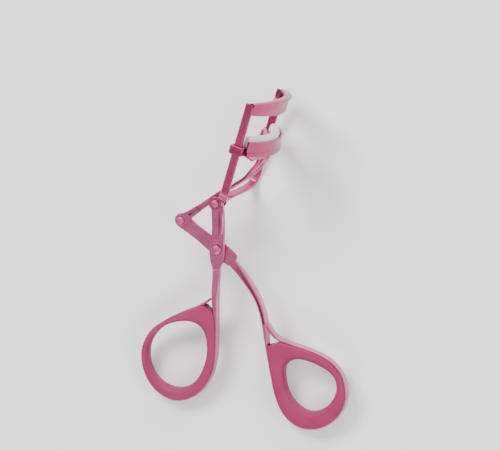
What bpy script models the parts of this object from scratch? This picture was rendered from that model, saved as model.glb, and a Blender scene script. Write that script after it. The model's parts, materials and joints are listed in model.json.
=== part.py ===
"""A scissor-handled eyelash curler, lying on its side as it does on a table.

The linkage is drawn flat first: x across the handles, y along the curler towards the head and z
along the rivets, in millimetres from the main rivet. An empty then turns it over onto the three
points that it rests on, and moves the box's bottom centre to the world's origin.
"""

from math import asin, cos, pi, radians, sin, sqrt

import bmesh
import bpy
from mathutils import Matrix, Vector
from mathutils.geometry import intersect_point_tri

MM = 0.001
GAP = 0.3  # between touching pieces

# Linkage, seen along the rivets, at fully open
FORK_HINGE = Vector((-11.6, 8.4, 0.0))
FRAME_HINGE = Vector((0.0, 14.4, 0.0))
RAIL_LEAN = radians(16.3)
JAW_FOOT = Vector((10.6, 32.1, 0.0))  # on the rails' line, level with the underside of the open jaw

# Where each flat piece lies along the rivets: lowest and highest z
LEFT_PLATE = (0.55, 1.65)
RIGHT_PLATE = (-0.75, 0.25)
FORK_STEM = (-1.7, 0.25)
FORK_NEAR_CHEEK = (0.55, 1.15)
FORK_FAR_CHEEK = (-1.7, -1.05)
FRAME_ARM = (2.0, 3.2)  # and the same on the other side
LOOP_BAND_WIDTH = 3.6
EDGE = 0.16  # the rounding of the strips' and the plates' edges
GRIP_WIDTH = 5.0

# Rivets
MAIN_SHANK, MAIN_HEAD = 0.9, 1.55
BOSS_RADIUS, BOSS_HEIGHT = 2.15, 0.2  # the coined ring under the main rivet's near head
HINGE_SHANK, HINGE_HEAD = 0.6, 1.2
KNEE_HOLE = 1.3  # the right handle's slack hole at the fork hinge
FORK_RIVET_SHANK, FORK_RIVET_HEAD = 0.5, 0.95  # of the two that hold the fork to the jaw
FORK_TAB = 0.9  # the thickness of the fork's feet

# Head
RAIL_HALF_SPAN = 16.5  # to the middle of each rail
ARC_RADIUS = 29.0  # of the jaw's and the top bar's middle line
RAIL_WIDTH, RAIL_THICKNESS = 2.5, 1.2
JAW_HALF_WIDTH, JAW_WALL, JAW_FLOOR, JAW_HEIGHT = 2.3, 0.55, 0.9, 4.6
JAW_HALF_CHORD = 15.0
PAD_HALF_WIDTH, PAD_FOOT, PAD_TOP = 1.45, 1.8, 5.8
PAD_HALF_CHORD = 14.3
OPENING = 6.8  # from the pad to the top bar, fully open
BAR_HEIGHT = 3.6
BAR_ARCH = 1.2  # how far the bar's middle rises above its ends
FORK_RIVET_ARC = radians(20.0)

UP = Vector((sin(RAIL_LEAN), cos(RAIL_LEAN), 0.0))
OUT = Vector((cos(RAIL_LEAN), -sin(RAIL_LEAN), 0.0))
ACROSS = Vector((0.0, 0.0, 1.0))
BAR_FOOT = PAD_TOP + OPENING
BAR_TOP = BAR_FOOT + BAR_HEIGHT
ARC_RISE = sqrt(ARC_RADIUS**2 - RAIL_HALF_SPAN**2)

# Handles: x, y and the strip's thickness along its middle, from the rivet to the end of the loop
LEFT_STRIP = [
    (-0.1, -6.2, 2.4), (-0.2, -9.0, 2.0), (-0.4, -12.5, 1.8), (-0.4, -17.0, 1.5),
    (-0.15, -22.0, 1.0), (-0.1, -27.5, 0.75), (-0.5, -33.5, 0.75), (-2.1, -39.5, 0.75),
    (-6.2, -44.8, 0.75), (-12.6, -47.0, 0.75), (-18.8, -44.4, 0.75), (-22.6, -38.8, 0.75),
    (-23.4, -32.2, 0.75), (-20.8, -26.4, 0.75), (-15.6, -22.4, 0.75), (-9.6, -19.4, 0.75),
    (-5.0, -17.4, 0.75), (-1.85, -15.2, 0.75),
]  # fmt: skip
RIGHT_STRIP = [
    (3.7, -3.2, 2.4), (6.4, -6.0, 2.0), (9.5, -9.8, 1.6), (12.5, -14.5, 1.4),
    (14.3, -19.4, 1.4), (15.2, -24.4, 1.3), (15.8, -29.8, 0.75), (17.1, -36.8, 0.75),
    (18.7, -44.2, 0.75), (21.6, -50.0, 0.75), (26.2, -53.3, 0.75), (31.8, -53.4, 0.75),
    (37.0, -50.5, 0.75), (40.2, -45.0, 0.75), (39.9, -38.6, 0.75), (36.0, -33.1, 0.75),
    (29.6, -29.9, 0.75), (22.8, -28.0, 0.75), (18.7, -26.3, 0.75), (16.55, -24.0, 0.7),
    (15.75, -22.3, 0.5),
]  # fmt: skip
LEFT_HOLE = [
    (-9.6, -22.5), (-4.8, -24.2), (-3.0, -29.4), (-3.9, -35.8), (-7.2, -41.4),
    (-12.4, -43.4), (-18.0, -41.4), (-21.2, -36.2), (-20.9, -29.6), (-16.6, -24.4),
]  # fmt: skip
RIGHT_HOLE = [
    (25.2, -32.6), (21.8, -34.6), (21.4, -38.6), (23.0, -44.0), (26.8, -47.8),
    (31.2, -48.4), (35.4, -45.8), (37.6, -41.2), (36.2, -36.8), (31.0, -33.8),
]  # fmt: skip
LEFT_GRIP_END, LEFT_GRIP_CORNER = 16, (-1.4, -17.0)  # the strip's last point that the grip follows
RIGHT_GRIP_END, RIGHT_GRIP_CORNER = 17, (17.4, -26.8)


def clear_scene():
    for obj in list(bpy.data.objects):
        bpy.data.objects.remove(obj, do_unlink=True)


clear_scene()
parts = bpy.data.collections.new("eyelash_curler")
bpy.context.scene.collection.children.link(parts)


def material(name, colour, metallic, roughness):
    made = bpy.data.materials.new(name)
    made.use_nodes = True
    shader = made.node_tree.nodes["Principled BSDF"]
    shader.inputs["Base Color"].default_value = (*colour, 1.0)
    shader.inputs["Metallic"].default_value = metallic
    shader.inputs["Roughness"].default_value = roughness
    made.diffuse_color = (*colour, 1.0)
    return made


PINK_METAL = material("pink_metal", (0.55, 0.16, 0.27), 1.0, 0.32)
GRIP_PINK = material("grip_pink", (0.45, 0.11, 0.19), 0.0, 0.55)
PAD_WHITE = material("pad_white", (0.86, 0.80, 0.80), 0.0, 0.6)
RIVET_METAL = material("rivet_metal", (0.50, 0.18, 0.28), 1.0, 0.35)


# Shapes. Each helper takes millimetres and returns an object whose mesh is in metres.


def link(name, mesh):
    made = bpy.data.objects.new(name, mesh)
    parts.objects.link(made)
    return made


def baked(obj):
    """The object with its modifiers, or its curve, turned into a plain closed mesh."""
    name = obj.name
    graph = bpy.context.evaluated_depsgraph_get()
    mesh = bpy.data.meshes.new_from_object(obj.evaluated_get(graph))
    matrix = obj.matrix_world.copy()
    bpy.data.objects.remove(obj, do_unlink=True)
    shape = bmesh.new()
    shape.from_mesh(mesh)
    bmesh.ops.remove_doubles(shape, verts=shape.verts, dist=2e-6)
    bmesh.ops.recalc_face_normals(shape, faces=shape.faces)
    shape.to_mesh(mesh)
    shape.free()
    made = link(name, mesh)
    made.name = name
    made.matrix_world = matrix
    return made


def joined(obj, other, operation):
    """The object after a Boolean with the other one, which is used up."""
    modifier = obj.modifiers.new(operation.lower(), "BOOLEAN")
    modifier.operation = operation
    modifier.object = other
    modifier.solver = "EXACT"
    bpy.context.view_layer.update()
    made = baked(obj)
    bpy.data.objects.remove(other, do_unlink=True)
    return made


def united(name, pieces):
    whole = pieces[0]
    for piece in pieces[1:]:
        whole = joined(whole, piece, "UNION")
    whole.name = name
    return whole


def cut(obj, cutters):
    for cutter in cutters:
        obj = joined(obj, cutter, "DIFFERENCE")
    return obj


def smooth(points, closed=False, steps=5):
    """A Catmull-Rom curve through the points, which may have any number of values each."""
    count = len(points)
    found = []
    for i in range(count if closed else count - 1):
        around = []
        for j in range(i - 1, i + 3):
            around.append(points[j % count] if closed else points[min(max(j, 0), count - 1)])
        for k in range(steps):
            t = k / steps
            weights = (
                (-t + 2 * t**2 - t**3) / 2,
                (2 - 5 * t**2 + 3 * t**3) / 2,
                (t + 4 * t**2 - 3 * t**3) / 2,
                (-(t**2) + t**3) / 2,
            )
            found.append(tuple(sum(w * p[a] for w, p in zip(weights, around)) for a in range(len(points[0]))))
    return found if closed else found + [tuple(points[-1])]


def offset_side(path, side, extra=0.0):
    """The line beside a path of (x, y, thickness), half the thickness and extra to one side."""
    found = []
    for i, (x, y, thickness) in enumerate(path):
        before, after = path[max(i - 1, 0)], path[min(i + 1, len(path) - 1)]
        along = Vector((after[0] - before[0], after[1] - before[1])).normalized()
        reach = side * (thickness / 2 + extra)
        found.append((x - along.y * reach, y + along.x * reach))
    return found


def extruded(name, outlines, low, high, rounding=0.0, segments=1):
    """A flat piece from its outline and its holes' outlines, from z = low to z = high."""
    curve = bpy.data.curves.new(name, "CURVE")
    curve.dimensions = "2D"
    curve.fill_mode = "BOTH"
    curve.extrude = ((high - low) / 2 - rounding) * MM
    curve.bevel_depth = rounding * MM
    curve.offset = -rounding * MM
    curve.bevel_resolution = segments - 1
    for outline in outlines:
        spline = curve.splines.new("POLY")
        spline.points.add(len(outline) - 1)
        for point, (x, y) in zip(spline.points, outline):
            point.co = (x * MM, y * MM, 0.0, 1.0)
        spline.use_cyclic_u = True
    made = bpy.data.objects.new(name, curve)
    parts.objects.link(made)
    bpy.context.view_layer.update()
    made = baked(made)
    made.data.transform(Matrix.Translation((0.0, 0.0, (low + high) / 2 * MM)))
    return made


def loft(name, rings):
    """A closed body through rings of points, each ring with as many points as the next."""
    shape = bmesh.new()
    rows = [[shape.verts.new(Vector(p) * MM) for p in ring] for ring in rings]
    for row, after in zip(rows, rows[1:]):
        for i in range(len(row)):
            j = (i + 1) % len(row)
            shape.faces.new((row[i], row[j], after[j], after[i]))
    shape.faces.new(reversed(rows[0]))
    shape.faces.new(rows[-1])
    bmesh.ops.recalc_face_normals(shape, faces=shape.faces)
    mesh = bpy.data.meshes.new(name)
    shape.to_mesh(mesh)
    shape.free()
    return link(name, mesh)


def swept(name, path, section, side):
    """A loft of a flat section along a 3-D path: section points are along side and along the normal."""
    rings = []
    for i, point in enumerate(path):
        before, after = Vector(path[max(i - 1, 0)]), Vector(path[min(i + 1, len(path) - 1)])
        along = (after - before).normalized()
        across = (side - along * side.dot(along)).normalized()
        normal = along.cross(across)
        rings.append([Vector(point) + across * a + normal * b for a, b in section])
    return loft(name, rings)


def chamfered(width, thickness, chamfer=0.3):
    a, b = width / 2, thickness / 2
    corners = [(a - chamfer, b), (a, b - chamfer), (a, chamfer - b), (a - chamfer, -b)]
    return corners + [(-x, -y) for x, y in corners]


def wire(name, path, radius):
    curve = bpy.data.curves.new(name, "CURVE")
    curve.dimensions = "3D"
    curve.bevel_depth = radius * MM
    curve.bevel_resolution = 1
    curve.use_fill_caps = True
    spline = curve.splines.new("POLY")
    spline.points.add(len(path) - 1)
    for point, place in zip(spline.points, path):
        point.co = (*(Vector(place) * MM), 1.0)
    made = bpy.data.objects.new(name, curve)
    parts.objects.link(made)
    bpy.context.view_layer.update()
    return baked(made)


def disc(name, centre, radius, low, high, sides=28):
    bpy.ops.mesh.primitive_cylinder_add(
        vertices=sides,
        radius=radius * MM,
        depth=(high - low) * MM,
        location=Vector((centre[0], centre[1], (low + high) / 2)) * MM,
    )
    made = bpy.context.object
    made.name = name
    for collection in list(made.users_collection):
        collection.objects.unlink(made)
    parts.objects.link(made)
    return baked(made)


def box(name, low, high, chamfer=0.0):
    """A box between two corners given in the head's own directions: out, up and across."""
    levels = [(low[1], 0.0), (high[1], 0.0)]
    if chamfer:
        levels = [(low[1], chamfer / 2), (low[1] + chamfer / 2, 0.0)]
        levels += [(high[1] - chamfer / 2, 0.0), (high[1], chamfer / 2)]
    rings = []
    for up, less in levels:
        left, right, far, near = low[0] + less, high[0] - less, low[2] + less, high[2] - less
        corners = []
        for out, across, turn in ((left, far, 1), (right, far, -1), (right, near, 1), (left, near, -1)):
            aside = (out + chamfer * (1 if out == left else -1), across)
            along = (out, across + chamfer * (1 if across == far else -1))
            corners += [along, aside][::turn] if chamfer else [(out, across)]
        rings.append([head(out, up, across) for out, across in corners])
    return loft(name, rings)


def turned(name, profile, steps=24):
    """A profile of (radius, height), listed from the top of the axis down its outer side."""
    mesh = bpy.data.meshes.new(name)
    mesh.from_pydata([(r * MM, 0.0, z * MM) for r, z in profile],
                     [(i, i + 1) for i in range(len(profile) - 1)], [])
    made = link(name, mesh)
    screw = made.modifiers.new("turn", "SCREW")
    screw.axis = "Z"
    screw.angle = 2 * pi
    screw.steps = steps
    screw.render_steps = steps
    screw.use_merge_vertices = True
    screw.merge_threshold = 1e-6
    bpy.context.view_layer.update()
    return baked(made)


def rivet(name, low, high, shank, head_radius, head_height):
    """A rivet along z whose domed heads begin at low and high."""
    dome = [(0.0, 1.0), (0.45, 0.95), (0.8, 0.66), (0.97, 0.2), (1.0, 0.0)]
    top = [(r * head_radius, high + z * head_height) for r, z in dome]
    bottom = [(r * head_radius, low - z * head_height) for r, z in reversed(dome)]
    return turned(name, top + [(shank, high), (shank, low)] + bottom)


# The head's own directions: out towards the bulge of the jaws, up the rails, across along z.


def head(out, up, across):
    return JAW_FOOT + OUT * out + UP * up + ACROSS * across


def arc(angle, beyond, up):
    """A point beside the jaws' middle line, at an angle from the plane of the linkage."""
    radius = ARC_RADIUS + beyond
    return head(radius * cos(angle) - ARC_RISE, up, radius * sin(angle))


def along_arc(name, half_chord, section, steps, arch=lambda angle: 0.0):
    """A section of (beyond, up) carried round the arc. arch lifts its points above the first two."""
    end = asin(half_chord / ARC_RADIUS)
    rings = []
    for i in range(steps + 1):
        angle = end * (2 * i / steps - 1)
        rings.append([arc(angle, beyond, up + lift * arch(angle / end)) for beyond, up, lift in section])
    return loft(name, rings)


def bead(name, centre, radii):
    """A long low dome, as pressed into a strip to stiffen it."""
    bpy.ops.mesh.primitive_uv_sphere_add(segments=20, ring_count=10, radius=MM)
    made = bpy.context.object
    made.name = name
    for collection in list(made.users_collection):
        collection.objects.unlink(made)
    parts.objects.link(made)
    made.data.transform(Matrix.Translation(Vector(centre) * MM) @ Matrix.Diagonal((*radii, 1.0)))
    return made


def ramps(strip_start, strip_end, plate):
    """Wedges that take a strip's two sides down to the plate's, over the length from start to end."""
    along = (strip_end - strip_start).normalized()
    aside = Vector((-along.y, along.x, 0.0)) * 4.0
    middle = sum(plate) / 2
    thin, full = plate[1] - middle + 0.08, LOOP_BAND_WIDTH / 2 + 0.05
    found = []
    for side in (1, -1):
        rings = []
        for point, height in ((strip_start - along, thin), (strip_start, thin), (strip_end, full)):
            low, high = ACROSS * (middle + side * height), ACROSS * (middle + side * 5.0)
            left, right = point - aside, point + aside
            rings.append([left + low, right + low, right + high, left + high])
        found.append(loft("ramp", rings))
    return found


def groove(name, points, width, low, high):
    """A cutter for the slot that a fold leaves along a strip."""
    path = [(x, y, width) for x, y in smooth(points)]
    return extruded(name, [offset_side(path, 1) + offset_side(path, -1)[::-1]], low, high)


def make_left_handle():
    path = smooth(LEFT_STRIP)
    middle = sum(LEFT_PLATE) / 2
    strip = extruded("left_strip", [offset_side(path, 1) + offset_side(path, -1)[::-1]],
                     middle - LOOP_BAND_WIDTH / 2, middle + LOOP_BAND_WIDTH / 2, EDGE)
    eye = FRAME_HINGE
    edge = [(1.95, eye.y), (1.35, eye.y + 1.35), (0.0, eye.y + 1.9), (-1.35, eye.y + 1.35), (-1.9, eye.y),
            (-1.6, 10.5), (-1.55, 5.5), (-2.0, 2.6), (-2.35, 0.0), (-2.1, -3.2), (-1.45, -5.6), (-1.15, -8.5),
            (0.75, -8.5), (1.15, -5.6), (2.1, -3.2), (2.45, 0.0), (2.35, 2.6), (2.5, 5.5), (2.45, 10.5)]
    plate = extruded("left_plate", [smooth(edge, closed=True, steps=3)], *LEFT_PLATE, EDGE)
    strip = cut(strip, ramps(Vector((-0.1, -6.2, 0.0)), Vector((-0.4, -14.0, 0.0)), LEFT_PLATE))
    boss = disc("boss", (0, 0), BOSS_RADIUS, LEFT_PLATE[1] - 0.3, LEFT_PLATE[1] + BOSS_HEIGHT)
    rib = bead("rib", (1.5, 8.3, LEFT_PLATE[1] - 0.1), (0.85, 3.6, 0.5))
    handle = united("left_handle", [plate, strip, boss, rib])
    fold = [(0.4, 4.2), (0.5, 8.3), (0.4, 11.8)]
    return cut(handle, [
        groove("fold", fold, 0.3, LEFT_PLATE[1] - 0.3, 6.0),
        disc("main_hole", (0, 0), MAIN_SHANK + GAP, -4, 4),
        disc("frame_hole", FRAME_HINGE, HINGE_SHANK + GAP, -4, 4),
    ])


def make_right_handle():
    path = smooth(RIGHT_STRIP)
    middle = sum(RIGHT_PLATE) / 2
    strip = extruded("right_strip", [offset_side(path, 1) + offset_side(path, -1)[::-1]],
                     middle - LOOP_BAND_WIDTH / 2, middle + LOOP_BAND_WIDTH / 2, EDGE)
    along = -FORK_HINGE.normalized()
    aside = Vector((-along.y, along.x, 0.0))

    def beside(distance, reach):
        point = FORK_HINGE + along * distance + aside * reach
        return (point.x, point.y)

    length = FORK_HINGE.length
    edge = [beside(-2.2, 0.0), beside(-1.5, 1.6), beside(0.2, 2.2), beside(5.0, 2.0),
            beside(length - 4.0, 2.1), beside(length, 2.6), beside(length + 3.4, 2.4),
            beside(length + 5.6, 2.1), beside(length + 6.3, 1.5), beside(length + 6.5, -0.6),
            beside(length + 6.0, -1.9), beside(length + 3.4, -2.4), beside(length, -2.5),
            beside(length - 4.0, -2.1), beside(5.0, -2.0), beside(0.2, -2.2), beside(-1.5, -1.6)]
    plate = extruded("right_plate", [smooth(edge, closed=True, steps=3)], *RIGHT_PLATE, EDGE)
    strip = cut(strip, ramps(Vector((3.7, -3.2, 0.0)), Vector((10.5, -11.0, 0.0)), RIGHT_PLATE))
    handle = united("right_handle", [plate, strip])
    fold = [(5.9, -5.1), (9.5, -9.8), (12.5, -14.5), (14.25, -19.4), (14.9, -22.4)]
    return cut(handle, [
        groove("fold", fold, 0.5, middle + 0.7, 6.0),
        disc("main_hole", (0, 0), MAIN_SHANK + GAP, -4, 4),
        disc("knee_hole", FORK_HINGE, KNEE_HOLE, -4, 4),
    ])


def make_grip(name, strip, hole, plate, inside, last, corner):
    """The soft ring inside a loop: it follows the strip and is rounded off short of the crotch."""
    steps = 5
    path = smooth(strip, steps=steps)
    first = next(i for i, p in enumerate(strip) if p[2] <= 1.2)
    outer = offset_side(path, inside, GAP)[first * steps: last * steps + 1: 2]
    start, end = outer[0], outer[-1]
    for k in range(1, 6):
        t = k / 6
        weights = ((1 - t) ** 2, 2 * t * (1 - t), t**2)
        outer.append(tuple(sum(w * p[a] for w, p in zip(weights, (end, corner, start))) for a in (0, 1)))
    middle = sum(plate) / 2
    return extruded(name, [outer, smooth(hole, closed=True, steps=4)], middle - GRIP_WIDTH / 2,
                    middle + GRIP_WIDTH / 2, 0.9, 2)


def make_upper_frame():
    """Two side arms, from the eyes at the hinge up to the rails, and the bar that joins their tops."""
    pieces = []
    bar_end = RAIL_HALF_SPAN - 0.2
    section = [(-1.3, BAR_FOOT, 0), (1.3, BAR_FOOT, 0), (1.3, BAR_TOP - 1.1, 1), (1.75, BAR_TOP - 0.9, 1),
               (1.9, BAR_TOP - 0.3, 1), (1.3, BAR_TOP, 1), (0.2, BAR_TOP, 1), (-0.5, BAR_TOP - 0.3, 1),
               (-0.4, BAR_TOP - 1.0, 1), (0.2, BAR_TOP - 1.2, 1), (0.2, BAR_FOOT + 1.0, 0),
               (-1.3, BAR_FOOT + 0.8, 0)]
    pieces.append(along_arc("top_bar", bar_end, section, 22, lambda share: BAR_ARCH * (1 - share**2)))
    for side in (1, -1):
        low, high = sorted(side * z for z in FRAME_ARM)
        middle = (low + high) / 2
        foot = [(FRAME_HINGE.x - 0.2, FRAME_HINGE.y - 0.3, middle), (0.7, 14.9, middle),
                (1.9, 15.7, middle), (3.1, 16.3, side * 4.8), (4.6, 16.9, side * 8.8),
                (5.9, 17.7, side * 13.2), (6.6, 19.0, side * 15.9)]
        rail = [head(0, up, side * RAIL_HALF_SPAN) for up in (-11.6, -9.0, 0.0, 8.0, BAR_TOP - 0.35)]
        path = smooth(foot + [tuple(p) for p in rail[:2]], steps=4) + [tuple(p) for p in rail[2:]]
        arm = swept("arm", path, chamfered(RAIL_WIDTH, RAIL_THICKNESS), OUT)
        eye = disc("eye", FRAME_HINGE, 2.0, low, high)
        pieces += [joined(arm, eye, "UNION")]
    frame = united("upper_frame", pieces)
    return cut(frame, [disc("hole", FRAME_HINGE, HINGE_SHANK + GAP, -6, 6)])


def make_lower_jaw():
    """A curved channel for the pad, with a flange round its foot and an eyelet on each rail."""
    w, t = JAW_HALF_WIDTH, JAW_WALL
    section = [(-w, 0.0), (w, 0.0), (w + 0.45, 0.25), (w + 0.45, 1.15), (w, 1.4), (w, JAW_HEIGHT),
               (w - t, JAW_HEIGHT), (w - t, JAW_FLOOR), (t - w, JAW_FLOOR), (t - w, JAW_HEIGHT - 0.8),
               (-w, JAW_HEIGHT - 0.8)]
    jaw = along_arc("channel", JAW_HALF_CHORD, [(a, b, 0) for a, b in section], 22)
    for side in (1, -1):
        low, high = sorted((side * 14.9, side * 18.1))
        jaw = joined(jaw, box("eyelet", (-2.2, -0.12, low), (2.2, 2.6, high), 0.5), "UNION")
    jaw.name = "lower_jaw"
    cutters = []
    for side in (1, -1):
        low, high = sorted((side * (RAIL_HALF_SPAN - 0.9), side * (RAIL_HALF_SPAN + 0.9)))
        cutters.append(box("slot", (-1.55, -2.0, low), (1.55, 4.0, high)))
        cutters.append(head_cylinder("hole", side * FORK_RIVET_ARC, FORK_RIVET_SHANK + GAP, -2.0, 3.0))
    return cut(jaw, cutters)


def head_cylinder(name, angle, radius, low, high, sides=20):
    """A cylinder up the rails' direction, on the jaws' middle line."""
    rings = []
    for up in (low, high):
        centre = arc(angle, 0.0, up)
        turns = [2 * pi * i / sides for i in range(sides)]
        rings.append([centre + OUT * radius * cos(turn) + ACROSS * radius * sin(turn) for turn in turns])
    return loft(name, rings)


def make_pad():
    w = PAD_HALF_WIDTH
    section = [(-w, PAD_FOOT), (w, PAD_FOOT), (w, PAD_TOP - 0.8), (w - 0.35, PAD_TOP - 0.25),
               (w - 1.0, PAD_TOP), (1.0 - w, PAD_TOP), (0.35 - w, PAD_TOP - 0.25), (-w, PAD_TOP - 0.8)]
    return along_arc("silicone_pad", PAD_HALF_CHORD, [(a, b, 0) for a, b in section], 22)


def make_fork():
    """The link from the right handle to the jaw: a hinge eye, a stem and two wires to the jaw's foot."""
    bend = Vector((0.0, 16.5, 0.0))
    along = (bend - FORK_HINGE).normalized()
    aside = Vector((-along.y, along.x, 0.0))

    def beside(distance, reach):
        point = FORK_HINGE + along * distance + aside * reach
        return (point.x, point.y)

    pieces = []
    for low, high in (FORK_NEAR_CHEEK, FORK_FAR_CHEEK):
        edge = [beside(-1.9, 0.0), beside(-1.3, 1.4), beside(0.2, 1.9), beside(3.0, 1.25), beside(6.6, 1.05),
                beside(6.6, -1.05), beside(3.0, -1.25), beside(0.2, -1.9), beside(-1.3, -1.4)]
        pieces.append(extruded("cheek", [edge], low, high, EDGE / 2))
    wide = [beside(3.3, 1.15), beside(6.6, 1.05), beside(6.6, -1.05), beside(3.3, -1.15)]
    pieces.append(extruded("web", [wide], FORK_STEM[0] + 0.02, FORK_NEAR_CHEEK[1] - 0.02))
    length = (bend - FORK_HINGE).length
    narrow = [beside(6.0, 0.95), beside(length + 3.6, 0.95), beside(length + 3.6, -0.95), beside(6.0, -0.95)]
    pieces.append(extruded("stem", [narrow], FORK_STEM[0] + 0.04, FORK_STEM[1] - 0.01))
    start = FORK_HINGE + along * (length + 2.6)
    for side in (1, -1):
        tip = arc(side * (FORK_RIVET_ARC - 0.15), 0.0, -0.75)
        path = [(start.x, start.y, side * 0.2 - 0.72), (start.x + 1.6, start.y + 0.9, side * 1.7 - 0.4),
                (6.6, 20.9, side * 3.2), (9.6, 22.8, side * 4.6), (12.2, 25.6, side * 5.6),
                (tip.x - 0.8, tip.y - 2.2, tip.z - side * 0.4), tuple(tip + UP * 0.1)]
        pieces.append(wire("wire", smooth(path, steps=4), 0.6))
        tab = [arc(side * (FORK_RIVET_ARC + turn), beyond, -0.3)
               for turn, beyond in ((-0.18, -1.2), (0.02, -1.6), (0.075, -0.7), (0.075, 0.7), (0.02, 1.6),
                                    (-0.18, 1.2))]
        pieces.append(loft("tab", [[p - UP * FORK_TAB for p in tab], tab]))
    fork = united("jaw_fork", pieces)
    fold = [beside(3.2, 0.0), beside(length - 3.0, 0.0), beside(length + 0.8, 0.0)]
    cutters = [groove("fold", fold, 0.5, -0.4, 6.0), disc("hole", FORK_HINGE, HINGE_SHANK + GAP, -4, 4)]
    for side in (1, -1):
        cutters.append(head_cylinder("hole", side * FORK_RIVET_ARC, FORK_RIVET_SHANK + GAP, -3.0, 2.0))
    return cut(fork, cutters)


def along_rails(obj, angle):
    """Stands a piece that was turned round z on the jaws' middle line, along the rails."""
    turn = Matrix((OUT, -ACROSS, UP)).transposed().to_4x4()
    obj.data.transform(Matrix.Translation(arc(angle, 0.0, 0.0) * MM) @ turn)
    return obj


def at(obj, centre):
    obj.data.transform(Matrix.Translation(Vector((centre[0], centre[1], 0.0)) * MM))
    return obj


# The pieces, each with its material, on the empty whose origin lies on its joint's axis.

curler = bpy.data.objects.new("curler", None)
parts.objects.link(curler)


def axis_empty(name, point, parent):
    made = bpy.data.objects.new(name, None)
    made.empty_display_size = 4 * MM
    parts.objects.link(made)
    made.parent = parent
    made.location = (point - (JOINT_POINTS[parent.name] if parent.name in JOINT_POINTS else Vector())) * MM
    JOINT_POINTS[name] = point
    return made


JOINT_POINTS = {}
handle_axis = axis_empty("handle_pivot_axis", Vector((0.0, 0.0, 0.0)), curler)
frame_axis = axis_empty("frame_hinge_axis", FRAME_HINGE, curler)
jaw_axis = axis_empty("jaw_slide_axis", JAW_FOOT, frame_axis)


def fit(obj, finish, parent):
    """Gives a piece its material and hangs it on its empty without moving it."""
    obj.data.materials.clear()
    obj.data.materials.append(finish)
    obj.data.shade_smooth()
    obj.data.set_sharp_from_angle(angle=radians(35.0))
    obj.data.transform(Matrix.Translation(-JOINT_POINTS.get(parent.name, Vector()) * MM))
    obj.parent = parent
    return obj


left = make_grip("left_grip", LEFT_STRIP, LEFT_HOLE, LEFT_PLATE, -1, LEFT_GRIP_END, LEFT_GRIP_CORNER)
right = make_grip("right_grip", RIGHT_STRIP, RIGHT_HOLE, RIGHT_PLATE, 1, RIGHT_GRIP_END, RIGHT_GRIP_CORNER)

fit(make_left_handle(), PINK_METAL, curler)
fit(left, GRIP_PINK, curler)
top = LEFT_PLATE[1] + BOSS_HEIGHT + GAP
main = rivet("main_rivet", RIGHT_PLATE[0] - GAP, top, MAIN_SHANK, MAIN_HEAD, 0.55)
fit(main, RIVET_METAL, curler)
hinge = rivet("frame_rivet", -FRAME_ARM[1] - GAP, FRAME_ARM[1] + GAP, HINGE_SHANK, HINGE_HEAD, 0.45)
fit(at(hinge, FRAME_HINGE), RIVET_METAL, curler)

fit(make_right_handle(), PINK_METAL, handle_axis)
fit(right, GRIP_PINK, handle_axis)

fit(make_upper_frame(), PINK_METAL, frame_axis)

fit(make_lower_jaw(), PINK_METAL, jaw_axis)
fit(make_pad(), PAD_WHITE, jaw_axis)
fit(make_fork(), PINK_METAL, jaw_axis)
knee = rivet("fork_rivet", FORK_FAR_CHEEK[0] - GAP, FORK_NEAR_CHEEK[1] + GAP, HINGE_SHANK, HINGE_HEAD, 0.45)
fit(at(knee, FORK_HINGE), RIVET_METAL, jaw_axis)
for which, side in (("near", 1), ("far", -1)):
    under = -GAP - FORK_TAB - GAP
    small = rivet(f"jaw_rivet_{which}", under, JAW_FLOOR + GAP / 2, FORK_RIVET_SHANK, FORK_RIVET_HEAD, 0.5)
    fit(along_rails(small, side * FORK_RIVET_ARC), RIVET_METAL, jaw_axis)


def rest_on_table():
    """Turns the curler onto the three points that it lies on, then centres its box over the origin."""
    corners = []
    volume, moment = 0.0, Vector()
    for obj in parts.objects:
        if obj.type != "MESH":
            continue
        placed = [obj.matrix_world @ vertex.co for vertex in obj.data.vertices]
        corners += placed
        obj.data.calc_loop_triangles()
        for triangle in obj.data.loop_triangles:
            a, b, c = (placed[i] for i in triangle.vertices)
            share = a.dot(b.cross(c)) / 6
            volume += share
            moment += share * (a + b + c) / 4
    balance = moment / volume
    hull = bmesh.new()
    for corner in corners:
        hull.verts.new(corner)
    bmesh.ops.convex_hull(hull, input=hull.verts)
    hull.normal_update()
    for face in hull.faces:
        if face.normal.z < -0.8 and intersect_point_tri(balance, *[v.co for v in face.verts[:3]]):
            turn = face.normal.rotation_difference(Vector((0.0, 0.0, -1.0)))
    hull.free()
    low = Vector(min((turn @ corner)[i] for corner in corners) for i in range(3))
    high = Vector(max((turn @ corner)[i] for corner in corners) for i in range(3))
    curler.rotation_euler = turn.to_euler()
    curler.location = (-(low.x + high.x) / 2, -(low.y + high.y) / 2, -low.z)
    bpy.context.view_layer.update()


rest_on_table()
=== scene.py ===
"""The eyelash curler's looks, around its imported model: camera, studio, materials and soft pieces."""

import json
from math import asin, cos, pi, radians, sin

import bmesh
import bpy
import numpy as np
from mathutils import Matrix, Vector
from mathutils.bvhtree import BVHTree


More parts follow.
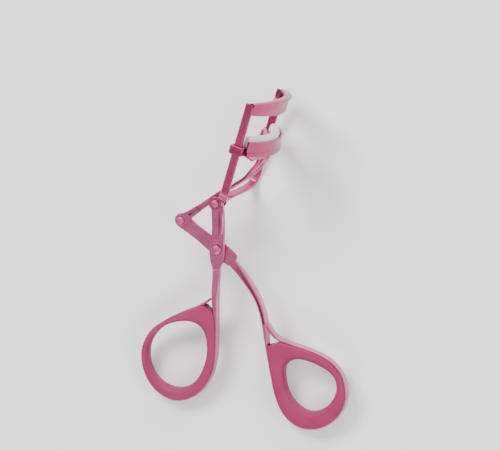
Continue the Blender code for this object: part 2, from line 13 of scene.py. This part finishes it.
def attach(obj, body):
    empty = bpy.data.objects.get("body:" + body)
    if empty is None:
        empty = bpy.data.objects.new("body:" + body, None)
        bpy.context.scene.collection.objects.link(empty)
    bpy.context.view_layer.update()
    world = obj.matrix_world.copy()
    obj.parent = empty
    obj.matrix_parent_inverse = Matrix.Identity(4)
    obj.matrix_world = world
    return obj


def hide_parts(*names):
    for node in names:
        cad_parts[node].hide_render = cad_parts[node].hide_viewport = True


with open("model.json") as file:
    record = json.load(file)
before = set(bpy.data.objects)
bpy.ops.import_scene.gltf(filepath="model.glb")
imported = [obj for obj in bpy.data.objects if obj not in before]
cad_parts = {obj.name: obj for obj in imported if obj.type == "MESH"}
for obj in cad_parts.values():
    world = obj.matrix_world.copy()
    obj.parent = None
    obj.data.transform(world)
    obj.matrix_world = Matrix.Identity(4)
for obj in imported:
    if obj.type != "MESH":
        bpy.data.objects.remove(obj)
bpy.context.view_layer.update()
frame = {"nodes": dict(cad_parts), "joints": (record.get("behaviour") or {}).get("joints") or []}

MM = 0.001
nodes = frame["nodes"]
scene = bpy.context.scene

# The curler's own axes: x across the handles, y towards the head, z along the rivets, in millimetres
joints = {joint["name"]: joint for joint in frame["joints"]}
PIVOT = Vector(joints["handle_pivot"]["pos_m"])
ALONG = (Vector(joints["frame_hinge"]["pos_m"]) - PIVOT).normalized()
ACROSS = -Vector(joints["handle_pivot"]["axis"]).normalized()
SIDE = ALONG.cross(ACROSS)
LOCAL = Matrix((SIDE, ALONG, ACROSS)).transposed().to_4x4()
LOCAL.translation = PIVOT
TO_LOCAL = LOCAL.inverted()


def place(x, y, z):
    return LOCAL @ (Vector((x, y, z)) * MM)


# Camera: a long lens, seen from 16.5 degrees to the jaws' side and 9.7 degrees towards the head

YAW, PITCH = radians(16.5), radians(9.7)
VIEW_WIDTH = 0.1515  # of the picture at the curler
VIEW_DISTANCE = 1.3
VIEW_CENTRE = (10.1, 7.9, 0.0)
SENSOR_WIDTH = 36.0

towards = LOCAL.to_3x3() @ Vector((sin(YAW) * cos(PITCH), sin(PITCH), cos(YAW) * cos(PITCH)))
rightwards = LOCAL.to_3x3() @ Vector((cos(YAW), 0.0, -sin(YAW)))
upwards = towards.cross(rightwards)
camera_data = bpy.data.cameras.new("camera")
camera_data.sensor_width = SENSOR_WIDTH
camera_data.lens = SENSOR_WIDTH * VIEW_DISTANCE / VIEW_WIDTH
camera_data.clip_end = 10.0
camera = bpy.data.objects.new("camera", camera_data)
turn = Matrix((rightwards, upwards, towards)).transposed().to_4x4()
turn.translation = place(*VIEW_CENTRE) + towards * VIEW_DISTANCE
camera.matrix_world = turn
scene.collection.objects.link(camera)
scene.camera = camera


# Studio

SKY_STRENGTH = 0.85
HORIZON, ZENITH = (0.20, 0.20, 0.21, 1.0), (1.0, 1.0, 1.0, 1.0)


def area_light(name, spot, target, size, power):
    data = bpy.data.lights.new(name, "AREA")
    data.shape = "RECTANGLE"
    data.size, data.size_y = size
    data.energy = power
    light = bpy.data.objects.new(name, data)
    light.location = spot
    light.rotation_euler = (Vector(target) - Vector(spot)).to_track_quat("-Z", "Y").to_euler()
    scene.collection.objects.link(light)


area_light("key", (-0.35, 0.45, 0.62), (0.0, 0.0, 0.0), (0.40, 0.30), 8.5)
area_light("fill", (0.60, -0.20, 0.50), (0.0, 0.0, 0.0), (0.55, 0.55), 4.2)
area_light("edge", (0.20, 0.75, 0.30), (0.0, 0.02, 0.02), (0.50, 0.08), 3.4)
area_light("front", (-0.10, -0.60, 0.45), (0.0, -0.02, 0.0), (0.50, 0.20), 2.4)

world = bpy.data.worlds.new("studio")
scene.world = world
world.use_nodes = True
sky = world.node_tree
background = sky.nodes["Background"]
background.inputs["Strength"].default_value = SKY_STRENGTH
where = sky.nodes.new("ShaderNodeTexCoord")
split = sky.nodes.new("ShaderNodeSeparateXYZ")
ramp = sky.nodes.new("ShaderNodeValToRGB")
ramp.color_ramp.elements[0].position = 0.5
ramp.color_ramp.elements[0].color = HORIZON
ramp.color_ramp.elements[1].position = 0.95
ramp.color_ramp.elements[1].color = ZENITH
sky.links.new(where.outputs["Generated"], split.inputs[0])
sky.links.new(split.outputs["Z"], ramp.inputs["Fac"])
sky.links.new(ramp.outputs["Color"], background.inputs["Color"])


# Materials

HEAD_START, HEAD_END = 0.036, 0.046  # where the head's metal darkens with painted shade, in metres along the curler
EDGE_ROUNDING = 0.12  # of the metal's sharp edges, as the light shows them


class Nodes:
    """A material's node tree, built up from its Principled shader."""

    def __init__(self, name):
        self.material = bpy.data.materials.new(name)
        self.material.use_nodes = True
        self.tree = self.material.node_tree
        self.shader = self.tree.nodes["Principled BSDF"]
        self.coordinates = self.add("ShaderNodeTexCoord").outputs["Object"]

    def add(self, kind, **values):
        node = self.tree.nodes.new(kind)
        for name, value in values.items():
            setattr(node, name, value)
        return node

    def link(self, output, target):
        self.tree.links.new(output, target)

    def set(self, **values):
        for name, value in values.items():
            self.shader.inputs[name.replace("_", " ")].default_value = value

    def noise(self, size, detail=3.0, stretch=(1.0, 1.0, 1.0), roughness=0.5):
        """Noise whose features are about that many millimetres across, drawn out by stretch."""
        mapping = self.add("ShaderNodeMapping")
        mapping.inputs["Scale"].default_value = [1.0 / (size * MM * s) for s in stretch]
        noise = self.add("ShaderNodeTexNoise")
        noise.inputs["Scale"].default_value = 1.0
        noise.inputs["Detail"].default_value = detail
        noise.inputs["Roughness"].default_value = roughness
        self.link(self.coordinates, mapping.inputs["Vector"])
        self.link(mapping.outputs["Vector"], noise.inputs["Vector"])
        return noise.outputs["Fac"]

    def ranged(self, value, low, high, start=0.3, end=0.7):
        """The value, from start to end, mapped to low to high."""
        node = self.add("ShaderNodeMapRange")
        for name, number in (("From Min", start), ("From Max", end), ("To Min", low), ("To Max", high)):
            node.inputs[name].default_value = number
        self.link(value, node.inputs["Value"])
        return node.outputs["Result"]

    def mixed(self, factor, first, second):
        node = self.add("ShaderNodeMix", data_type="RGBA")
        self.link(factor, node.inputs["Factor"])
        for end, colour in (("A", first), ("B", second)):
            socket = next(s for s in node.inputs if s.name == end and s.type == "RGBA")
            if isinstance(colour, tuple):
                socket.default_value = (*colour, 1.0)
            else:
                self.link(colour, socket)
        return next(s for s in node.outputs if s.type == "RGBA")

    def sum(self, *values):
        total = values[0]
        for value in values[1:]:
            node = self.add("ShaderNodeMath", operation="ADD")
            self.link(total, node.inputs[0])
            self.link(value, node.inputs[1])
            total = node.outputs[0]
        return total

    def bump(self, height, depth, edge=0.0):
        """Relief whose full height is that many millimetres, over edges rounded by edge."""
        node = self.add("ShaderNodeBump")
        node.inputs["Strength"].default_value = 1.0
        node.inputs["Distance"].default_value = depth * MM
        if edge:
            rounded = self.add("ShaderNodeBevel", samples=6)
            rounded.inputs["Radius"].default_value = edge * MM
            self.link(rounded.outputs["Normal"], node.inputs["Normal"])
        self.link(height, node.inputs["Height"])
        self.link(node.outputs["Normal"], self.shader.inputs["Normal"])


def plated_metal(name, light, deep, roughness, grain, darkest=None):
    """Pink plated steel: a satin pearl finish with fine brushing, faint handling marks and a clear coat.
    The darkest colour, where there is one, is painted shade that the metal takes on towards the head's end."""
    m = Nodes(name)
    m.set(Metallic=1.0, Coat_Weight=0.18, Coat_Roughness=0.2)
    clouds = m.ranged(m.noise(9.0, 4.0), 0.0, 0.8)
    flecks = m.ranged(m.noise(0.25, 2.0), 0.0, 0.3, 0.35, 0.75)
    colour = m.mixed(m.sum(clouds, flecks), deep, light)
    # painted shade: towards the head's end the colour darkens to the given darkest colour
    if darkest:
        reached = m.add("ShaderNodeSeparateXYZ")
        m.link(m.coordinates, reached.inputs[0])
        colour = m.mixed(m.ranged(reached.outputs["Y"], 0.0, 1.0, HEAD_START, HEAD_END), colour, darkest)
    m.link(colour, m.shader.inputs["Base Color"])
    brushed = m.noise(0.1, 3.0, grain)
    smears = m.ranged(m.noise(3.5, 5.0, roughness=0.65), -0.04, 0.08)
    m.link(m.sum(m.ranged(brushed, roughness - 0.07, roughness + 0.07), smears), m.shader.inputs["Roughness"])
    scratches = m.ranged(m.noise(0.05, 1.0, (1.0, 26.0, 1.0)), 0.0, 0.5, 0.62, 0.72)
    m.bump(m.sum(brushed, scratches), 0.006, EDGE_ROUNDING)
    return m.material


def soft_grip(name, light, deep):
    """Soft-touch rubber: a matte skin with a fine moulded grain and slightly paler rubbed places."""
    m = Nodes(name)
    m.set(Metallic=0.0, IOR=1.46, Specular_IOR_Level=0.3, Sheen_Weight=0.06, Sheen_Roughness=0.5,
          Subsurface_Weight=0.06, Subsurface_Scale=0.0008)
    m.shader.inputs["Subsurface Radius"].default_value = (1.0, 0.35, 0.4)
    clouds = m.ranged(m.noise(6.0, 4.0), 0.0, 0.75)
    grain = m.noise(0.14, 3.0)
    m.link(m.mixed(m.sum(clouds, m.ranged(grain, 0.0, 0.3)), deep, light), m.shader.inputs["Base Color"])
    rubbed = m.ranged(m.noise(4.0, 5.0), -0.05, 0.06)
    m.link(m.sum(m.ranged(grain, 0.5, 0.64), rubbed), m.shader.inputs["Roughness"])
    m.bump(m.sum(grain, m.ranged(m.noise(0.6, 2.0), 0.0, 0.5)), 0.018)
    return m.material


def silicone(name, light, deep):
    """Translucent silicone: a smooth skin with a faint cloudiness."""
    m = Nodes(name)
    m.set(Metallic=0.0, IOR=1.42, Subsurface_Weight=0.35, Subsurface_Scale=0.0012,
          Coat_Weight=0.1, Coat_Roughness=0.3)
    m.shader.inputs["Subsurface Radius"].default_value = (1.0, 0.7, 0.65)
    m.link(m.mixed(m.ranged(m.noise(2.5, 4.0), 0.0, 1.0), deep, light), m.shader.inputs["Base Color"])
    m.link(m.ranged(m.noise(0.5, 3.0), 0.34, 0.48), m.shader.inputs["Roughness"])
    m.bump(m.noise(0.2, 3.0), 0.01)
    return m.material


ALONG_GRAIN = (1.0, 14.0, 1.0)
CROSS_GRAIN = (1.0, 1.0, 14.0)
# painted shade: the colour the head metal darkens to at the head's end
HEAD_PAINTED_SHADE = (0.36, 0.036, 0.12)
PINK_METAL = plated_metal("pink_metal", (0.61, 0.14, 0.295), (0.51, 0.10, 0.232), 0.3, ALONG_GRAIN)
# painted shade: a darker copy of the pink plating for the head's shaded faces
HEAD_SHADED_METAL = plated_metal("head_metal_painted_shade", (0.58, 0.088, 0.225), (0.48, 0.06, 0.17), 0.26, CROSS_GRAIN,
                          HEAD_PAINTED_SHADE)
# painted shade: a darker copy of the pink plating for the jaw's shaded faces
JAW_SHADED_METAL = plated_metal("jaw_metal_painted_shade", (0.44, 0.048, 0.15), (0.36, 0.036, 0.12), 0.3, CROSS_GRAIN)
RIVET_METAL = plated_metal("rivet_metal", (0.57, 0.13, 0.27), (0.47, 0.095, 0.21), 0.46, (1.0, 1.0, 1.0))
GRIP_LEFT = soft_grip("left_grip_rubber", (0.315, 0.029, 0.106), (0.27, 0.021, 0.082))
GRIP_RIGHT = soft_grip("right_grip_rubber", (0.31, 0.024, 0.098), (0.26, 0.017, 0.076))
PAD = silicone("pad_silicone", (0.86, 0.76, 0.77), (0.80, 0.67, 0.69))

for node, finish in (
    ("left_handle", PINK_METAL), ("right_handle", PINK_METAL), ("jaw_fork", PINK_METAL),
    ("upper_frame", HEAD_SHADED_METAL), ("lower_jaw", JAW_SHADED_METAL), ("main_rivet", RIVET_METAL),
    ("frame_rivet", RIVET_METAL), ("fork_rivet", RIVET_METAL), ("jaw_rivet_near", RIVET_METAL),
    ("jaw_rivet_far", RIVET_METAL),
):
    nodes[node].data.materials.clear()
    nodes[node].data.materials.append(finish)


# Soft pieces

MERGE_DISTANCE = 2e-6
SAME_LEVEL = 0.02  # points of one outline differ by less than this in level
FEWEST_IN_OUTLINE = 9


def local_mesh(node):
    """A CAD node's vertices in the curler's own axes, in millimetres, and its merged edges."""
    shape = bmesh.new()
    shape.from_mesh(nodes[node].data)
    bmesh.ops.remove_doubles(shape, verts=shape.verts, dist=MERGE_DISTANCE)
    shape.verts.ensure_lookup_table()
    points = np.array([(TO_LOCAL @ v.co) / MM for v in shape.verts])
    edges = [(e.verts[0].index, e.verts[1].index) for e in shape.edges]
    shape.free()
    return points, edges


def widest_outlines(node):
    """The outer outline and the hole's outline of a flat ring, where it is widest."""
    points, edges = local_mesh(node)
    low, high = points[:, 2].min(), points[:, 2].max()
    middle = (low + high) / 2
    levels = np.abs(points[:, 2] - middle)
    chosen = set(np.flatnonzero((levels < levels.min() + SAME_LEVEL) & (points[:, 2] > middle)))
    near = {}
    for a, b in edges:
        if a in chosen and b in chosen:
            near.setdefault(a, []).append(b)
            near.setdefault(b, []).append(a)
    loops = []
    while near:
        start = next(iter(near))
        loop, current, previous = [start], start, None
        while True:
            following = [n for n in near[current] if n != previous and (n not in loop or n == start)]
            if not following or (following[0] == start and len(loop) > 2):
                break
            previous, current = current, following[0]
            loop.append(current)
        for index in loop:
            near.pop(index)
        if len(loop) >= FEWEST_IN_OUTLINE:
            loops.append(points[loop][:, :2])
    loops.sort(key=lambda loop: -np.ptp(loop, axis=0).prod())
    return loops[0], loops[1], low, high


def by_angle(outline, centre, angles):
    """How far the outline is from the centre in each direction."""
    closed = np.vstack([outline, outline[:1]])
    found = []
    for angle in angles:
        ray = np.array([cos(angle), sin(angle)])
        best = 0.0
        for p, q in zip(closed, closed[1:]):
            side = q - p
            denominator = ray[0] * side[1] - ray[1] * side[0]
            if abs(denominator) < 1e-9:
                continue
            offset = p - centre
            distance = (offset[0] * side[1] - offset[1] * side[0]) / denominator
            share = (offset[0] * ray[1] - offset[1] * ray[0]) / denominator
            if -1e-6 <= share <= 1 + 1e-6 and distance > best:
                best = distance
        found.append(best)
    return np.array(found)


def mesh_object(name, vertices, faces, finish):
    """A smooth-shaded object of those faces, all turned outwards."""
    mesh = bpy.data.meshes.new(name)
    mesh.from_pydata([tuple(v) for v in vertices], [], faces)
    shape = bmesh.new()
    shape.from_mesh(mesh)
    bmesh.ops.recalc_face_normals(shape, faces=shape.faces)
    shape.to_mesh(mesh)
    shape.free()
    mesh.materials.append(finish)
    mesh.shade_smooth()
    made = bpy.data.objects.new(name, mesh)
    scene.collection.objects.link(made)
    return made


def rounded_section(count, squareness):
    """Points round a section, across and up from -1 to 1: a circle at 2, squarer above it."""
    power = 2.0 / squareness
    angles = [2 * pi * i / count for i in range(count)]
    return [(abs(cos(a)) ** power * (1 if cos(a) > 0 else -1),
             abs(sin(a)) ** power * (1 if sin(a) > 0 else -1)) for a in angles]


def tube_faces(rings, count, closed):
    """The faces between rings of points, closed into a loop or capped at both ends."""
    faces = []
    for i in range(rings if closed else rings - 1):
        j = (i + 1) % rings
        for k in range(count):
            m = (k + 1) % count
            faces.append((i * count + k, i * count + m, j * count + m, j * count + k))
    if not closed:
        faces += [tuple(range(count)), tuple(range((rings - 1) * count, rings * count))]
    return faces


def subdivided(made):
    smooth = made.modifiers.new("soft", "SUBSURF")
    smooth.levels = smooth.render_levels = 1


# Half of a grip's section, from the hole's middle to the band's: which outline a point is measured from
# (0 the hole's, 1 the outer one's, between them a share), how far beyond it, and how far across
GRIP_HALF = 2.5
SEAT = 0.2  # how far the ring reaches beyond the CAD outline, to sit against the band
LIP = (0.28, 0.72, 0.86, 0.5)  # how far the lip over the band's edge reaches at each of its four points
GRIP_PROFILE = [
    (0, 0.06, 0.0), (0, 0.0, 0.16), (0, 0.02, 0.8), (0, 0.14, 1.5), (0, 0.42, 2.02), (0, 0.9, 2.36),
    (0.5, 0.0, 2.5), (1, -0.5, 2.44), (1, LIP[0], 2.34), (1, LIP[1], 2.16), (1, LIP[2], 1.98),
    (1, LIP[3], 1.9), (1, SEAT, 1.86), (1, SEAT, 1.0), (1, SEAT, 0.0),
]  # fmt: skip


GRIP_RINGS = 200
LAP_FADE, LAP_REACH = 0.7, 1.3  # the lip fades out over the first, and is gone at the second, from the band
SHRINK = 0.35  # how far the ring's rim draws in where there is no band


def moulded_grip(name, node, handle, body, finish):
    """The soft ring in a finger loop: fat and rounded, lapping over the band's edges."""
    outer, hole, low, high = widest_outlines(node)
    centre = hole.mean(axis=0)
    angles = [2 * pi * i / GRIP_RINGS for i in range(GRIP_RINGS)]
    far = by_angle(outer, centre, angles)
    near = by_angle(hole, centre, angles)
    middle = (high + low) / 2
    band = BVHTree.FromObject(nodes[handle], bpy.context.evaluated_depsgraph_get())
    section = GRIP_PROFILE + [(share, beyond, -across) for share, beyond, across in GRIP_PROFILE[-2:0:-1]]
    vertices = []
    for i, angle in enumerate(angles):
        ray = np.array([cos(angle), sin(angle)])
        rim = centre + ray * far[i]
        away = band.find_nearest(place(rim[0], rim[1], middle))[3] / MM
        lap = min(1.0, max(0.0, (LAP_REACH - away) / LAP_FADE))
        for share, beyond, across in section:
            if share == 1 and beyond > SEAT:
                beyond = SEAT + (beyond - SEAT) * lap
            if share == 1 and lap < 1.0:
                beyond -= (1.0 - lap) * SHRINK * (abs(across) / GRIP_HALF) ** 2
            reach = near[i] + (far[i] - near[i]) * share + beyond
            point = centre + ray * reach
            vertices.append(place(point[0], point[1], middle + across))
    made = mesh_object(name, vertices, tube_faces(GRIP_RINGS, len(section), True), finish)
    subdivided(made)
    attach(made, body)
    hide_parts(node)


moulded_grip("left_soft_grip", "left_grip", "left_handle", "left_side", GRIP_LEFT)
moulded_grip("right_soft_grip", "right_grip", "right_handle", "right_side", GRIP_RIGHT)


PAD_ARC_RADIUS, PAD_WIDTH = 29.0, 2.9
PAD_RINGS, PAD_SECTION_POINTS, PAD_SQUARENESS = 96, 28, 3.0
PAD_END_SQUARENESS = 26  # the higher, the shorter the rounding at each end
MOULD_LINE_DEPTH, MOULD_LINE_LEVEL, MOULD_LINE_HALF = 0.07, 0.62, 0.08


def moulded_pad():
    """The curved silicone strip in the lower jaw: a crowned top, rounded ends and a faint mould line."""
    up = (TO_LOCAL.to_3x3() @ Vector(joints["jaw_slide"]["axis"])).normalized()
    out = up.cross(Vector((0.0, 0.0, 1.0)))
    points = local_mesh("silicone_pad")[0]
    outs, ups = points @ np.array(out), points @ np.array(up)
    half_chord = np.abs(points[:, 2]).max()
    foot, top = ups.min(), ups.max()
    arc_centre = outs.max() - PAD_ARC_RADIUS - PAD_WIDTH / 2
    reach = asin(half_chord / (PAD_ARC_RADIUS + PAD_WIDTH / 2))
    section = rounded_section(PAD_SECTION_POINTS, PAD_SQUARENESS)
    vertices = []
    for i in range(PAD_RINGS):
        share = 2 * i / (PAD_RINGS - 1) - 1
        angle = reach * share
        taper = (1 - abs(share) ** PAD_END_SQUARENESS) ** 0.5 * 0.96 + 0.04
        for a, b in section:
            groove = MOULD_LINE_DEPTH if abs(b - MOULD_LINE_LEVEL) < MOULD_LINE_HALF else 0.0
            beyond = a * (PAD_WIDTH / 2 - groove) * (0.4 + 0.6 * taper) * (1 - 0.1 * max(0.0, b))
            level = (foot + top) / 2 + b * (top - foot) / 2 * (0.8 + 0.2 * taper)
            radius = PAD_ARC_RADIUS + beyond
            point = out * (arc_centre + radius * cos(angle)) + up * level
            vertices.append(place(point.x, point.y, radius * sin(angle)))
    made = mesh_object("moulded_pad", vertices, tube_faces(PAD_RINGS, len(section), False), PAD)
    subdivided(made)
    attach(made, "jaw")
    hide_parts("silicone_pad")


moulded_pad()


# Floor

FLOOR_HALF = 2


def floor():
    """A sheet of pale paper under the curler, which isn't part of it."""
    m = Nodes("floor_paper")
    m.set(Roughness=0.85, Specular_IOR_Level=0.2)
    paper = m.mixed(m.noise(30.0, 3.0), (0.94, 0.935, 0.93), (0.97, 0.965, 0.96))
    m.link(paper, m.shader.inputs["Base Color"])
    m.bump(m.noise(0.6, 3.0), 0.01)
    corners = [(FLOOR_HALF * x, FLOOR_HALF * y, 0) for x, y in ((-1, -1), (1, -1), (1, 1), (-1, 1))]
    made = mesh_object("floor", corners, [(0, 1, 2, 3)], m.material)


floor()
